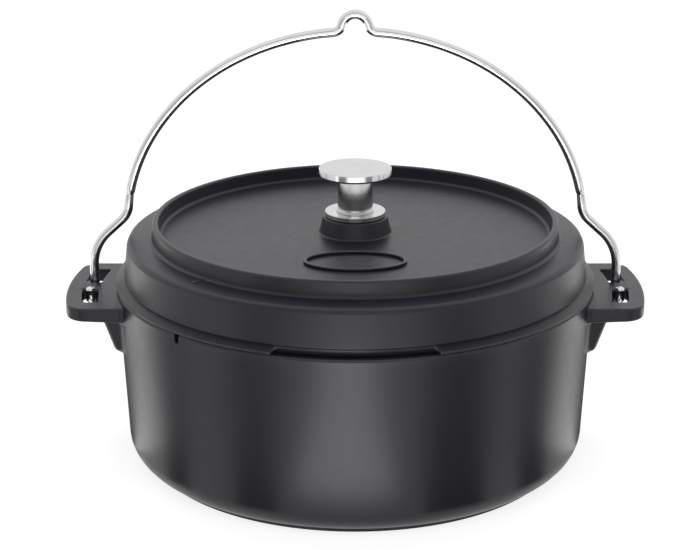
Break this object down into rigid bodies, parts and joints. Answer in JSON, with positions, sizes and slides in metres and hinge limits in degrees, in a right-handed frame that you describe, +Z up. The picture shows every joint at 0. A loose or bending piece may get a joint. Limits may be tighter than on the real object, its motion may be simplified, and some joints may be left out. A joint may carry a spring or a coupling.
{
  "type": "dutch oven",
  "caption": "Round cast-iron camp pot with pierced side lugs, a flanged tray lid with a turned steel knob, and a folding wire bail.",
  "frame": {"origin": "centre of the foot ring, on the surface that the pot stands on", "axes": "+Z up, front at -Y, lugs along X"},
  "size_m": [0.3702, 0.3057, 0.2874],
  "materials": {
    "pot_iron": "satin black",
    "lid_iron": "satin black",
    "knob_steel": "polished, with a satin top",
    "fastener_steel": "zinc plated",
    "bail_steel": "polished"
  },
  "bodies": {
    "pot": {"pot_body": "pot_iron"},
    "lid": {"lid": "lid_iron", "knob": "knob_steel", "knob_screw": "fastener_steel", "knob_washer": "fastener_steel", "knob_spring_washer": "fastener_steel"},
    "bail": {"bail": "bail_steel"}
  },
  "joints": [
    {"name": "lid_lift", "type": "slide", "parent": "pot", "child": "lid", "axis": [0, 0, 1], "range_m": [0, 0.007]},
    {"name": "bail_swing", "type": "hinge", "parent": "pot", "child": "bail", "pos_m": [0, 0, 0.106], "axis": [1, 0, 0], "range_deg": [-48, 86]}
  ]
}
